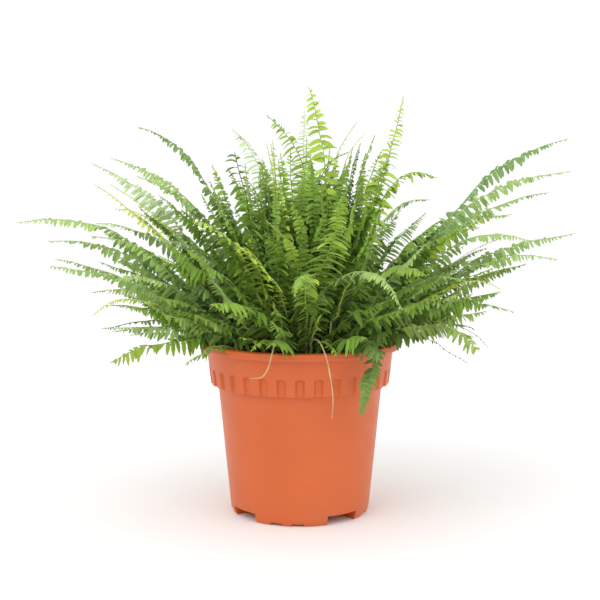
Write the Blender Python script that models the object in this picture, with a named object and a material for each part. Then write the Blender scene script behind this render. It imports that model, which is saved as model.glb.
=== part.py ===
"""Potted sword fern: a moulded nursery pot, its soil, the crown and every frond as separate solids.

The pot stands on z = 0 with its axis on Z. -Y is the front. Lengths are in millimetres and
become metres where a mesh is made. Headings are in degrees, 0 to the front and +90 to +X.
"""

import math
from collections import namedtuple

import bmesh
import bpy
import numpy as np
from mathutils import Matrix, Vector

MM = 0.001

# Pot
POT_HEIGHT = 148.0
LIP_RADIUS = 85.0
LIP_HEIGHT = 6.0
COLLAR_TOP_RADIUS = 79.8
COLLAR_BASE_RADIUS = 76.3
COLLAR_BASE_Z = 111.6
BODY_TOP_RADIUS = 70.2
FOOT_RADIUS = 58.0
FOOT_CHAMFER = 1.8
FOOT_CHAMFER_Z = 4.5
WALL = 1.3
FLUTES = 32
FLUTE_TOP_Z = 126.0
FLUTE_DEPTH = 1.1
STEPS_PER_FLUTE = 3
CHANNEL_WIDTH = 29.0
CHANNEL_HEIGHT = 8.0
CHANNEL_HEADING = 37.0
DRAIN_RADIUS = 5.0
DRAIN_RING = 36.0
DRAIN_STEPS = 16
LIP_EDGE = 1.2
FLUTE_SHOULDER = 0.6
BORE_STEPS = 64
SHARP_ANGLE = 35
PAST = 5.0
NEAR = 0.1

# Soil and crown
GAP = 0.3
SOIL_TOP_Z = 136.0
CROWN_RADIUS = 57.0
CROWN_EDGE = 1.5
CROWN_RISE = 8.0
CROWN_STEPS = 36
CROWN_RINGS = (1.0, 0.8, 0.6, 0.4, 0.2)

# Runners
RUNNER_RADIUS = 0.8
RUNNER_POINT_SPACING = 3.0

# Fronds
STALK_RADIUS = 1.1
BLADE_THICKNESS = 0.7
BLADE_DROOP = 0.18
NOTCH_SHARE = 0.6
TOOTH_SPACING = 13.0
SEAT_GAP = 0.5
SEAT_MARGIN = 4.0
SPACING = 5.4
SPACING_ROUNDS = 40
SPACING_PUSH = 0.25
SMOOTHING_ROUNDS = 3
WIDTH_SHARE = 0.42
DENSE = 33
FINER = 3
EDGE_THICKNESS = 0.85
TIP_THICKNESS = 0.5
BARE_STALK = 0.12
SWELL_LENGTH = 0.16
SWELL_POWER = 0.8
TAPER_LENGTH = 0.55
TAPER_POWER = 0.6

# How far from the axis a frond is seated, for how steeply it climbs.
SEAT_CLIMBS = (22, 45, 85)
SEAT_RADII = (50, 34, 9)

Frond = namedtuple("Frond", "heading reach height climb tip_pitch bend face aim", defaults=(0, None, None))
Kind = namedtuple("Kind", "half_width handle colour")

KINDS = {
    "tall": Kind(11.5, 0.36, (0.26, 0.42, 0.12)),
    "arching": Kind(11.0, 0.40, (0.16, 0.29, 0.06)),
    "low": Kind(9.5, 0.42, (0.10, 0.20, 0.04)),
    "front": Kind(11.0, 0.42, (0.14, 0.27, 0.05)),
    "hanging": Kind(8.0, 0.80, (0.17, 0.30, 0.07)),
    "young": Kind(6.5, 0.30, (0.32, 0.48, 0.10)),
    "dry": Kind(3.0, 0.42, (0.09, 0.07, 0.03)),
}

# Each row: tip heading, tip reach, tip height, climb at the crown, pitch at the tip, and bend,
# by which the base heading leads the tip heading so that the frond bows sideways. Face is the
# heading that the blade's upper side is turned to and aim the heading that the tip points to, where
# those aren't the frond's own.
FRONDS = {
    "tall": [
        Frond(15, 25, 361, 84, 66, 75, face=0),
        Frond(92, 88, 354, 68, 76, face=15),
        Frond(-137, 42, 340, 82, 35, -40, face=-20),
        Frond(178, 118, 347, 74, 35),
        Frond(-150, 126, 330, 70, 15),
        Frond(-32, 96, 308, 66, 70),
        Frond(140, 80, 334, 76, 30),
        Frond(118, 82, 310, 66, 60, face=30),
        Frond(76, 116, 287, 62, -40),
        Frond(-55, 105, 252, 60, -5),
    ],
    "arching": [
        Frond(-110, 154, 330, 60, 12),
        Frond(-90, 160, 302, 63, 12),
        Frond(-100, 184, 298, 49, 20),
        Frond(-78, 172, 281, 46, 32),
        Frond(-128, 195, 286, 52, 10),
        Frond(-112, 200, 243, 42, -4),
        Frond(-83, 235, 250, 39, -12),
        Frond(-74, 210, 216, 31, 4),
        Frond(98, 235, 320, 43, 14),
        Frond(85, 226, 292, 45, 2),
        Frond(107, 234, 271, 42, 4),
        Frond(121, 230, 248, 42, -8),
        Frond(75, 194, 236, 40, -22),
        Frond(91, 234, 238, 34, 4),
        Frond(104, 198, 219, 32, 12),
        Frond(165, 190, 262, 50, -15),
        Frond(-168, 195, 240, 46, -18),
        Frond(142, 205, 262, 46, -10),
    ],
    "low": [
        Frond(-108, 198, 182, 31, -12),
        Frond(-100, 178, 153, 25, -15),
        Frond(-74, 146, 158, 25, -2),
        Frond(-69, 166, 138, 23, -24),
        Frond(-48, 122, 140, 25, -38),
        Frond(102, 194, 166, 28, -24),
        Frond(57, 168, 152, 26, -52),
        Frond(-143, 196, 190, 35, -14),
        Frond(150, 196, 182, 34, -16),
        Frond(178, 190, 172, 32, -20),
    ],
    "front": [
        Frond(16, 114, 272, 72, 62),
        Frond(27, 166, 192, 70, -58, -8),
        Frond(-1, 190, 206, 46, -30, 6),
        Frond(-29, 140, 192, 42, -8),
        Frond(40, 150, 214, 50, -24),
        Frond(33, 116, 148, 30, -55),
    ],
    "hanging": [
        Frond(28, 101, 99, 40, -76, 33, aim=-75),
    ],
    "young": [
        Frond(-91, 163, 281, 47, 20),
        Frond(-61, 186, 180, 26, -66),
        Frond(69, 172, 197, 29, -58),
        Frond(-18, 84, 254, 76, 20, 30),
        Frond(-22, 118, 236, 62, 22, 12),
        Frond(-70, 30, 314, 80, 72),
    ],
    "dry": [
        Frond(83, 160, 143, 26, -60),
        Frond(98, 148, 124, 27, -38),
        Frond(67, 177, 241, 41, 24),
    ],
}

# Routes of the two runners, from the crown over the lip.
RUNNERS = {
    "runner_left": [
        (-12, -48, 140.6),
        (-14, -60, 155),
        (-18, -77, 161),
        (-22, -92, 150),
        (-27, -94, 137),
        (-36, -92, 130),
    ],
    "runner_right": [
        (3, -50, 140.4),
        (7, -62, 154),
        (14, -80, 159),
        (20, -92, 149),
        (24, -94, 131),
        (26, -93, 114),
        (25, -92, 98),
    ],
}


def clear_scene():
    for obj in list(bpy.data.objects):
        bpy.data.objects.remove(obj, do_unlink=True)


def make_material(name, colour, roughness):
    material = bpy.data.materials.new(name)
    material.use_nodes = True
    shader = material.node_tree.nodes["Principled BSDF"]
    shader.inputs["Base Color"].default_value = (*colour, 1.0)
    shader.inputs["Roughness"].default_value = roughness
    shader.inputs["Metallic"].default_value = 0.0
    return material


def add_object(name, data, material=None):
    obj = bpy.data.objects.new(name, data)
    bpy.context.scene.collection.objects.link(obj)
    if material:
        data.materials.append(material)
    return obj


def add_cutter(name, mesh):
    cutter = add_object(name, mesh)
    cutter.hide_render = True
    cutter.display_type = "WIRE"
    return cutter


def cut(target, cutter):
    modifier = target.modifiers.new(f"cut_{cutter.name}", "BOOLEAN")
    modifier.operation = "DIFFERENCE"
    modifier.solver = "EXACT"
    modifier.object = cutter


def turned_mesh(name, profile, steps):
    """Closed solid turned about Z from (radius, z) points that start and end on the axis, bottom first."""
    bm = bmesh.new()
    points = [bm.verts.new((radius * MM, 0.0, z * MM)) for radius, z in profile]
    edges = [bm.edges.new(pair) for pair in zip(points, points[1:])]
    outline = points + edges
    turn = 2 * math.pi
    bmesh.ops.spin(bm, geom=outline, cent=(0, 0, 0), axis=(0, 0, 1), angle=turn, steps=steps, use_merge=True)
    bmesh.ops.remove_doubles(bm, verts=bm.verts, dist=1e-6)
    bmesh.ops.recalc_face_normals(bm, faces=bm.faces)
    mesh = bpy.data.meshes.new(name)
    bm.to_mesh(mesh)
    bm.free()
    mesh.shade_smooth()
    mesh.set_sharp_from_angle(angle=math.radians(SHARP_ANGLE))
    return mesh


def box_mesh(name, length, width, z_low, z_high, heading):
    bm = bmesh.new()
    place = (
        Matrix.Rotation(math.radians(heading), 4, "Z")
        @ Matrix.Translation((0, 0, (z_low + z_high) / 2 * MM))
        @ Matrix.Diagonal((width * MM, length * MM, (z_high - z_low) * MM, 1))
    )
    bmesh.ops.create_cube(bm, size=1.0, matrix=place)
    mesh = bpy.data.meshes.new(name)
    bm.to_mesh(mesh)
    bm.free()
    return mesh


def body_radius(z):
    """Outer radius of the tapering body at a height below the collar."""
    share = (z - FOOT_CHAMFER_Z) / (COLLAR_BASE_Z - FOOT_CHAMFER_Z)
    return FOOT_RADIUS + FOOT_CHAMFER + share * (BODY_TOP_RADIUS - FOOT_RADIUS - FOOT_CHAMFER)


def collar_radius(z):
    """Outer radius of the flaring collar at a height between its base and the lip."""
    return np.interp(z, [COLLAR_BASE_Z, POT_HEIGHT - LIP_HEIGHT], [COLLAR_BASE_RADIUS, COLLAR_TOP_RADIUS])


def bore_profile(inset, z_floor, z_top):
    """Inside of the pot, drawn in by an inset from its outer faces, from floor to top."""
    return [
        (0, z_floor),
        (body_radius(z_floor) - inset, z_floor),
        (body_radius(COLLAR_BASE_Z) - inset, COLLAR_BASE_Z + inset),
        (COLLAR_BASE_RADIUS - FLUTE_DEPTH - inset, COLLAR_BASE_Z + inset),
        (COLLAR_TOP_RADIUS - FLUTE_DEPTH - inset, POT_HEIGHT - LIP_HEIGHT),
        (COLLAR_TOP_RADIUS - FLUTE_DEPTH - inset, z_top),
        (0, z_top),
    ]


def cut_channels(target, name, width, z_low, z_high):
    """Cuts the cross-shaped recess that leaves the four feet."""
    for index, heading in enumerate((CHANNEL_HEADING, CHANNEL_HEADING + 90)):
        mesh = box_mesh(f"{name}_{index}", 2 * LIP_RADIUS, width, z_low, z_high, heading)
        cut(target, add_cutter(f"{name}_{index}", mesh))


def press_flutes(mesh):
    """Pushes every third column of the collar inwards, which leaves the raised flutes."""
    for vertex in mesh.vertices:
        z = vertex.co.z / MM
        if not COLLAR_BASE_Z - NEAR < z < FLUTE_TOP_Z - NEAR:
            continue
        radius = math.hypot(vertex.co.x, vertex.co.y)
        if radius / MM < COLLAR_BASE_RADIUS - NEAR:
            continue
        column = round(math.atan2(vertex.co.y, vertex.co.x) / (2 * math.pi) * FLUTES * STEPS_PER_FLUTE)
        if column % STEPS_PER_FLUTE == 0:
            shrink = 1 - FLUTE_DEPTH * MM / radius
            vertex.co.x *= shrink
            vertex.co.y *= shrink


def drain_mesh(name, heading):
    """Round plug through the raised floor of one channel."""
    radius = DRAIN_RADIUS * MM
    place = Matrix.Rotation(math.radians(heading), 4, "Z")
    place @= Matrix.Translation((0, -DRAIN_RING * MM, CHANNEL_HEIGHT * MM))
    bm = bmesh.new()
    bmesh.ops.create_cone(
        bm,
        cap_ends=True,
        segments=DRAIN_STEPS,
        radius1=radius,
        radius2=radius,
        depth=PAST * MM,
        matrix=place,
    )
    mesh = bpy.data.meshes.new(name)
    bm.to_mesh(mesh)
    bm.free()
    return mesh


def make_pot(material):
    profile = [
        (0, 0),
        (FOOT_RADIUS, 0),
        (FOOT_RADIUS + FOOT_CHAMFER, FOOT_CHAMFER_Z),
        (BODY_TOP_RADIUS, COLLAR_BASE_Z),
        (COLLAR_BASE_RADIUS, COLLAR_BASE_Z),
        (collar_radius(FLUTE_TOP_Z - FLUTE_SHOULDER), FLUTE_TOP_Z - FLUTE_SHOULDER),
        (collar_radius(FLUTE_TOP_Z), FLUTE_TOP_Z),
        (COLLAR_TOP_RADIUS, POT_HEIGHT - LIP_HEIGHT),
        (LIP_RADIUS, POT_HEIGHT - LIP_HEIGHT),
        (LIP_RADIUS, POT_HEIGHT - LIP_EDGE),
        (LIP_RADIUS - LIP_EDGE, POT_HEIGHT),
        (0, POT_HEIGHT),
    ]
    mesh = turned_mesh("pot", profile, FLUTES * STEPS_PER_FLUTE)
    press_flutes(mesh)
    pot = add_object("pot", mesh, material)
    bore_mesh = turned_mesh("pot_bore", bore_profile(WALL, WALL, POT_HEIGHT + PAST), BORE_STEPS)
    bore = add_cutter("pot_bore", bore_mesh)
    cut_channels(bore, "raised_floor", CHANNEL_WIDTH + 2 * WALL, -PAST, CHANNEL_HEIGHT + WALL)
    cut(pot, bore)
    cut_channels(pot, "channel", CHANNEL_WIDTH, -PAST, CHANNEL_HEIGHT)
    for quarter in range(4):
        name = f"drain_{quarter}"
        cut(pot, add_cutter(name, drain_mesh(name, CHANNEL_HEADING + 90 * quarter)))


def make_soil(material):
    """Fills the pot with a gap all round, down into the hollow feet."""
    inset = WALL + GAP
    profile = bore_profile(inset, inset, SOIL_TOP_Z)
    profile = profile[:4] + [(collar_radius(SOIL_TOP_Z) - FLUTE_DEPTH - inset, SOIL_TOP_Z), (0, SOIL_TOP_Z)]
    soil = add_object("potting_soil", turned_mesh("potting_soil", profile, BORE_STEPS), material)
    cut_channels(soil, "soil_channel", CHANNEL_WIDTH + 2 * inset, -PAST, CHANNEL_HEIGHT + inset)
    return soil


def crown_z(radius):
    """Height of the crown's top over a radius: a shallow dome."""
    return SOIL_TOP_Z + GAP + CROWN_EDGE + CROWN_RISE * (1 - (radius / CROWN_RADIUS) ** 2)


def make_crown(material):
    radii = [CROWN_RADIUS * share for share in CROWN_RINGS]
    profile = [(0, SOIL_TOP_Z + GAP), (CROWN_RADIUS, SOIL_TOP_Z + GAP)]
    profile += [(radius, crown_z(radius)) for radius in radii] + [(0, crown_z(0))]
    return add_object("crown", turned_mesh("crown", profile, CROWN_STEPS), material)


def smooth_route(route, spacing):
    """Points on a Catmull-Rom curve through the route, about a spacing apart."""
    knots = np.array([route[0], *route, route[-1]], float)
    points = []
    for a, b, c, d in zip(knots, knots[1:], knots[2:], knots[3:]):
        steps = max(2, round(np.linalg.norm(c - b) / spacing))
        for t in np.arange(steps) / steps:
            square = (2 * a - 5 * b + 4 * c - d) * t**2
            cube = (3 * b - a - 3 * c + d) * t**3
            points.append(0.5 * (2 * b + (c - a) * t + square + cube))
    return points + [knots[-1]]


def make_runner(name, route, material):
    curve = bpy.data.curves.new(name, "CURVE")
    curve.dimensions = "3D"
    curve.bevel_depth = RUNNER_RADIUS * MM
    curve.bevel_resolution = 2
    curve.use_fill_caps = True
    points = smooth_route(route, RUNNER_POINT_SPACING)
    spline = curve.splines.new("POLY")
    spline.points.add(len(points) - 1)
    for point, place in zip(spline.points, points):
        point.co = (*(place * MM), 1.0)
    return add_object(name, curve, material)


def facing(heading):
    """Unit vector level with the ground at a heading."""
    angle = np.radians(heading)
    return np.stack([np.sin(angle), -np.cos(angle), np.zeros_like(angle)], axis=-1)


def aimed(heading, pitch):
    """Unit vector at a heading, pitched up from level."""
    rise = math.radians(pitch)
    return facing(np.float64(heading)) * math.cos(rise) + np.array([0, 0, math.sin(rise)])


def spine_of(frond, handle):
    """Cubic curve from the crown to the tip, leaving at the climb and arriving at the tip pitch."""
    base_heading = frond.heading + frond.bend
    base_radius = np.interp(frond.climb, SEAT_CLIMBS, SEAT_RADII)
    base = facing(np.float64(base_heading)) * base_radius
    base[2] = crown_z(base_radius) + SEAT_GAP
    tip = facing(np.float64(frond.heading)) * frond.reach
    tip[2] = frond.height
    pull = handle * np.linalg.norm(tip - base)
    aim = frond.heading - frond.bend if frond.aim is None else frond.aim
    control = [
        base,
        base + pull * aimed(base_heading, frond.climb),
        tip - pull * aimed(aim, frond.tip_pitch),
        tip,
    ]
    t = np.linspace(0, 1, DENSE)[:, None]
    weights = [(1 - t) ** 3, 3 * t * (1 - t) ** 2, 3 * t**2 * (1 - t), t**3]
    return sum(weight * point for weight, point in zip(weights, control))


def spread_apart(spines):
    """Eases the spines away from each other until they stand about a spacing apart, keeping them smooth."""
    count = len(spines)
    owner = np.repeat(np.arange(count), DENSE)
    other = owner[:, None] != owner[None, :]
    for _ in range(SPACING_ROUNDS):
        points = spines.reshape(-1, 3)
        apart = points[:, None] - points[None, :]
        distance = np.linalg.norm(apart, axis=2) + 1e-6
        near = other & (distance < SPACING)
        push = np.where(near, SPACING_PUSH * (SPACING - distance) / distance, 0.0)
        move = (push[:, :, None] * apart).sum(axis=1).reshape(count, DENSE, 3)
        for _ in range(SMOOTHING_ROUNDS):
            padded = np.concatenate([move[:, :1], move, move[:, -1:]], axis=1)
            move = 0.25 * padded[:, :-2] + 0.5 * padded[:, 1:-1] + 0.25 * padded[:, 2:]
        spines = spines + move
        radius = np.linalg.norm(spines[:, 0, :2], axis=1)
        inside = np.minimum(1.0, (CROWN_RADIUS - SEAT_MARGIN) / radius)
        spines[:, 0, :2] *= inside[:, None]
        spines[:, 0, 2] = crown_z(radius * inside) + SEAT_GAP
    return spines


def finer(spines):
    """Spines with points added between their own, on the straight lines that join them."""
    steps = np.arange((DENSE - 1) * FINER + 1) / FINER
    low = np.minimum(steps.astype(int), DENSE - 2)
    share = (steps - low)[:, None]
    return spines[..., low, :] * (1 - share) + spines[..., low + 1, :] * share


def clear_width(spines, index):
    """The half-width that keeps each point of a spine inside its share of the way to its neighbours."""
    others = np.delete(spines, index, axis=0).reshape(-1, 3)
    distance = np.linalg.norm(spines[index][:, None] - others[None], axis=2).min(axis=1)
    padded = np.pad(distance, FINER, mode="edge")
    windows = [padded[shift : shift + len(distance)] for shift in range(2 * FINER + 1)]
    return WIDTH_SHARE * np.min(windows, axis=0)


def face_heading(frond, t):
    """Heading that the blade's upper side is turned to, along the frond's bow unless it is given."""
    if frond.face is not None:
        return np.full_like(t, frond.face)
    return frond.heading + frond.bend * (1 - 2 * t)


def blade_share(t):
    """Share of the full half-width along the frond: bare stalk, quick swell, long taper to the tip."""
    swell = np.clip((t - BARE_STALK) / SWELL_LENGTH, 0, 1) ** SWELL_POWER
    taper = np.clip((1 - t) / TAPER_LENGTH, 0, 1) ** TAPER_POWER
    return swell * taper


def frond_mesh(name, frond, spine, clearance, half_width):
    """Flat roofed strip with a toothed edge round the spine, closed by its seat and a pointed tip."""
    length = np.linalg.norm(np.diff(spine, axis=0), axis=1).sum()
    teeth = max(4, round(length / TOOTH_SPACING / 2))
    stations = np.linspace(0, 1, 2 * teeth + 1)
    dense = np.linspace(0, 1, len(spine))
    centre = np.stack([np.interp(stations, dense, spine[:, axis]) for axis in range(3)], axis=1)
    tangent = np.gradient(centre, axis=0)
    tangent /= np.linalg.norm(tangent, axis=1)[:, None]
    side = facing(face_heading(frond, stations) + 90)
    side -= (side * tangent).sum(axis=1)[:, None] * tangent
    side /= np.linalg.norm(side, axis=1)[:, None]
    top = np.cross(tangent, side)
    top[0] = -facing(face_heading(frond, stations)[0])
    side[0] = facing(face_heading(frond, stations)[0] + 90)
    in_notch = np.arange(len(stations)) % 2 == 0
    notch = np.where(in_notch, NOTCH_SHARE, 1.0)
    wide = np.maximum(half_width * blade_share(stations) * notch, STALK_RADIUS)
    wide = np.minimum(wide, np.interp(stations, dense, clearance))
    tip_thickness = TIP_THICKNESS * BLADE_THICKNESS
    blade_start = BARE_STALK + SWELL_LENGTH
    thick = np.interp(stations, [0, blade_start, 1], [STALK_RADIUS, BLADE_THICKNESS, tip_thickness])
    thick *= np.where(in_notch, 1.0, EDGE_THICKNESS)
    thick = np.minimum(thick, wide)
    droop = BLADE_DROOP * (wide - STALK_RADIUS).clip(0)
    rings = np.stack(
        [
            centre + side * wide[:, None] - top * droop[:, None],
            centre + top * thick[:, None],
            centre - side * wide[:, None] - top * droop[:, None],
            centre - top * thick[:, None],
        ],
        axis=1,
    )[:-1]
    bm = bmesh.new()
    corners = [[bm.verts.new(Vector(point * MM)) for point in ring] for ring in rings]
    tip = bm.verts.new(Vector(centre[-1] * MM))
    bm.faces.new(corners[0])
    for lower, upper in zip(corners, corners[1:]):
        for index in range(4):
            after = (index + 1) % 4
            bm.faces.new((lower[index], lower[after], upper[after], upper[index]))
    for index in range(4):
        bm.faces.new((corners[-1][index], corners[-1][(index + 1) % 4], tip))
    bmesh.ops.triangulate(bm, faces=bm.faces)
    bmesh.ops.recalc_face_normals(bm, faces=bm.faces)
    mesh = bpy.data.meshes.new(name)
    bm.to_mesh(mesh)
    bm.free()
    return mesh


def side_word(heading):
    """Which side of the plant a heading points to."""
    turned = (heading + 180) % 360 - 180
    if abs(turned) < 45:
        return "front"
    if abs(turned) > 135:
        return "back"
    return "right" if turned > 0 else "left"


def planned_fronds():
    """Every frond with its node name, such as arching_frond_left_2, counted on its own side."""
    plan = []
    seen = {}
    for kind, rows in FRONDS.items():
        for frond in rows:
            stem = f"{kind}_frond_{side_word(frond.heading)}"
            if kind == "front":
                stem = "facing_frond"
            seen[stem] = seen.get(stem, 0) + 1
            plan.append((f"{stem}_{seen[stem]}", kind, frond))
    return plan


def spread_spines(plan):
    return spread_apart(np.array([spine_of(frond, KINDS[kind].handle) for _, kind, frond in plan]))


def make_fronds():
    materials = {kind: make_material(f"{kind}_frond", KINDS[kind].colour, 0.5) for kind in KINDS}
    plan = planned_fronds()
    spines = finer(spread_spines(plan))
    for index, (name, kind, frond) in enumerate(plan):
        clearance = clear_width(spines, index)
        mesh = frond_mesh(name, frond, spines[index], clearance, KINDS[kind].half_width)
        add_object(name, mesh, materials[kind])


def main():
    clear_scene()
    make_pot(make_material("pot_plastic", (0.72, 0.17, 0.05), 0.45))
    make_soil(make_material("potting_soil", (0.03, 0.02, 0.012), 0.95))
    make_crown(make_material("crown_fibre", (0.06, 0.045, 0.02), 0.9))
    runner_material = make_material("runner", (0.45, 0.42, 0.14), 0.5)
    for name, route in RUNNERS.items():
        make_runner(name, route, runner_material)
    make_fronds()


main()
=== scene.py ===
"""Looks of the potted sword fern: pot, soil, crown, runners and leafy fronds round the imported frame.

Lengths are in metres. The pot stands on z = 0 with its axis on Z. -Y is the front. Headings are in
degrees, 0 to the front and +90 to +X.
"""

import math
from collections import namedtuple

import bpy
import numpy as np
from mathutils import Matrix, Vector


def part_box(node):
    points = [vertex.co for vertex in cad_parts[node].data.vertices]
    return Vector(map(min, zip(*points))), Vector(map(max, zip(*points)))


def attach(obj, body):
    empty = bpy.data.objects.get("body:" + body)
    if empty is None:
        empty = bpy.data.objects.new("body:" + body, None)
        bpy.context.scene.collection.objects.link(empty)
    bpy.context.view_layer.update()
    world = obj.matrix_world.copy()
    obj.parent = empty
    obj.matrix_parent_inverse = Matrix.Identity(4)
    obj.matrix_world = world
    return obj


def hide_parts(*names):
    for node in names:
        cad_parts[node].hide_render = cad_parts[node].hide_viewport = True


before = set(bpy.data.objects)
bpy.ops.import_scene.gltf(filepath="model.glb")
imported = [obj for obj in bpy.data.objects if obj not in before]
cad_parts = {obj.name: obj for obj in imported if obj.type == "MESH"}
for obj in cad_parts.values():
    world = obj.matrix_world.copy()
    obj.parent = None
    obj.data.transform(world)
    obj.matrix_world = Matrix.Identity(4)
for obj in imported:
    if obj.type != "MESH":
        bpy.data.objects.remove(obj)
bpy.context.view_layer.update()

MM = 0.001
UP = np.array([0.0, 0.0, 1.0])
TURN = 2 * math.pi


# ---------------------------------------------------------------- arrays

def unit(vectors):
    """Each vector over its own length."""
    return vectors / np.maximum(np.linalg.norm(vectors, axis=-1, keepdims=True), 1e-12)


def square_to(vectors, axis):
    """The vectors with their share along a unit axis taken out."""
    return vectors - (vectors * axis).sum(axis=-1, keepdims=True) * axis


def facing(heading):
    """Unit vector level with the ground at a heading: (sin, -cos, 0)."""
    angle = np.radians(heading)
    return np.stack([np.sin(angle), -np.cos(angle), np.zeros_like(angle)], axis=-1)


def smooth_step(low, high, x):
    """0 below low, 1 above high, and 3s^2 - 2s^3 between them."""
    share = np.clip((x - low) / (high - low), 0, 1)
    return share * share * (3 - 2 * share)


def softened(rows, rounds):
    """Each row moved to the 1-2-1 mean of itself and its neighbours, with both ends held."""
    for _ in range(rounds):
        rows[1:-1] = 0.25 * rows[:-2] + 0.5 * rows[1:-1] + 0.25 * rows[2:]
    return rows


def read_at(places, known, rows):
    """Rows of three numbers, known at some places, read by straight lines at other places."""
    return np.stack([np.interp(places, known, rows[:, axis]) for axis in range(3)], axis=1)


def ripple(x, y, rng, waves, longest, shortest):
    """Unevenness between about -1 and 1: a sum of cosines of varied direction, length and phase."""
    length = np.geomspace(longest, shortest, waves)
    direction = rng.uniform(0, TURN, waves)
    phase = rng.uniform(0, TURN, waves)
    strength = (length / longest) ** 0.7
    along = x[..., None] * np.cos(direction) + y[..., None] * np.sin(direction)
    return (strength * np.cos(TURN * along / length + phase)).sum(axis=-1) / strength.sum() * 2


# ---------------------------------------------------------------- meshes

def tube_faces(rings, sides):
    """Corner numbers of a closed tube of rings: quads round it, and both ends filled by quads."""
    ring, side = np.meshgrid(np.arange(rings - 1), np.arange(sides), indexing="ij")
    here = ring * sides + side
    beside = ring * sides + (side + 1) % sides
    body = np.stack([here, beside, beside + sides, here + sides], axis=-1).reshape(-1, 4)
    first = np.arange(1, sides - 2, 2)
    fan = np.stack([0 * first, first, first + 1, first + 2], axis=-1)
    return np.concatenate([body, fan[:, ::-1], fan + (rings - 1) * sides])


def tube_uv(rings, sides):
    """Map of the same tube: first number along it, second number round it, both from 0 to 1.

    The quads that fill the ends all take one small patch beside the start.
    """
    ring, side = np.meshgrid(np.arange(rings - 1), np.arange(sides), indexing="ij")
    ring, side = ring.reshape(-1, 1), side.reshape(-1, 1)
    along = (ring + np.array([0, 0, 1, 1])) / (rings - 1)
    round_it = (side + np.array([0, 1, 1, 0])) / sides
    caps = (sides - 2) // 2
    corners = np.array([[0.02, 0.02], [0.02, 0.48], [0.04, 0.48], [0.04, 0.02]])
    ends = np.tile(corners, (2 * caps, 1, 1))
    return np.concatenate([np.stack([along, round_it], axis=-1), ends])


def quad_mesh(name, points, quads, uv, marks, sharp_angle):
    """Smooth-shaded mesh of quads with one UV map and float attributes on its points."""
    mesh = bpy.data.meshes.new(name)
    mesh.vertices.add(len(points))
    mesh.loops.add(4 * len(quads))
    mesh.polygons.add(len(quads))
    mesh.vertices.foreach_set("co", points.astype(np.float32).ravel())
    mesh.loops.foreach_set("vertex_index", quads.astype(np.int32).ravel())
    mesh.polygons.foreach_set("loop_start", 4 * np.arange(len(quads), dtype=np.int32))
    mesh.polygons.foreach_set("use_smooth", np.ones(len(quads), bool))
    mesh.update(calc_edges=True)
    layer = mesh.uv_layers.new(name="surface")
    layer.data.foreach_set("uv", uv.astype(np.float32).ravel())
    for mark, values in marks.items():
        attribute = mesh.attributes.new(mark, "FLOAT", "POINT")
        attribute.data.foreach_set("value", values.astype(np.float32))
    mesh.set_sharp_from_angle(angle=math.radians(sharp_angle))
    return mesh


def tube_mesh(name, rings, sharp_angle):
    """Mesh of one closed tube, from its points ring by ring."""
    count, sides = rings.shape[:2]
    faces, uv = tube_faces(count, sides), tube_uv(count, sides)
    return quad_mesh(name, rings.reshape(-1, 3), faces, uv, {}, sharp_angle)


def add_piece(name, mesh, material, slot, *replaced):
    """Puts a mesh in the scene as a piece that rides on the plant's one body."""
    piece = bpy.data.objects.new(name, mesh)
    bpy.context.scene.collection.objects.link(piece)
    mesh.materials.append(material)
    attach(piece, "root")
    if replaced:
        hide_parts(*replaced)
    return piece


# ---------------------------------------------------------------- materials

class Finish:
    """A material's node tree with short ways to add and join its nodes."""

    def __init__(self, name):
        self.material = bpy.data.materials.new(name)
        self.material.use_nodes = True
        self.tree = self.material.node_tree
        self.shader = self.tree.nodes["Principled BSDF"]

    def node(self, kind, **inputs):
        """A new node whose inputs are joined to sockets or set to values."""
        node = self.tree.nodes.new(kind)
        for key, value in inputs.items():
            self.feed(node.inputs[key], value)
        return node

    def feed(self, socket, value):
        if isinstance(value, bpy.types.NodeSocket):
            self.tree.links.new(value, socket)
        else:
            socket.default_value = value

    def set(self, **values):
        for key, value in values.items():
            self.feed(self.shader.inputs[key.replace("_", " ")], value)

    def mark(self, name):
        node = self.node("ShaderNodeAttribute")
        node.attribute_name = name
        return node.outputs["Fac"]

    def place(self):
        return self.node("ShaderNodeTexCoord").outputs["Object"]

    def surface(self):
        """The two numbers of the piece's own map."""
        node = self.node("ShaderNodeUVMap")
        node.uv_map = "surface"
        parts = self.node("ShaderNodeSeparateXYZ", Vector=node.outputs[0])
        return parts.outputs["X"], parts.outputs["Y"]

    def math(self, operation, *values):
        node = self.node("ShaderNodeMath")
        node.operation = operation
        for socket, value in zip(node.inputs, values):
            self.feed(socket, value)
        return node.outputs[0]

    def noise(self, scale, detail, roughness=0.55, stretch=None):
        where = self.place()
        if stretch:
            where = self.node("ShaderNodeMapping", Vector=where, Scale=stretch).outputs[0]
        inputs = {"Vector": where, "Scale": scale, "Detail": detail, "Roughness": roughness}
        return self.node("ShaderNodeTexNoise", **inputs).outputs[0]

    def spread(self, value, low, high, out_low=0.0, out_high=1.0):
        """The value carried from low..high to out_low..out_high, and held at both ends."""
        limits = {"From Min": low, "From Max": high, "To Min": out_low, "To Max": out_high}
        return self.node("ShaderNodeMapRange", Value=value, **limits).outputs[0]

    def mix(self, share, start, end):
        """Colour between start and end by the share."""
        node = self.node("ShaderNodeMix")
        node.data_type = "RGBA"
        self.feed(node.inputs["Factor"], share)
        for socket, colour in zip((s for s in node.inputs if s.type == "RGBA"), (start, end)):
            self.feed(socket, colour)
        return next(s for s in node.outputs if s.type == "RGBA")

    def bump(self, height, strength, distance):
        node = self.node("ShaderNodeBump", Height=height, Strength=strength, Distance=distance)
        self.feed(self.shader.inputs["Normal"], node.outputs[0])


def rgb(red, green, blue):
    return (red, green, blue, 1.0)


def scaled(colour, share):
    """A lighter or darker tone of the colour."""
    return rgb(*(min(1.0, share * part) for part in colour[:3]))


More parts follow.
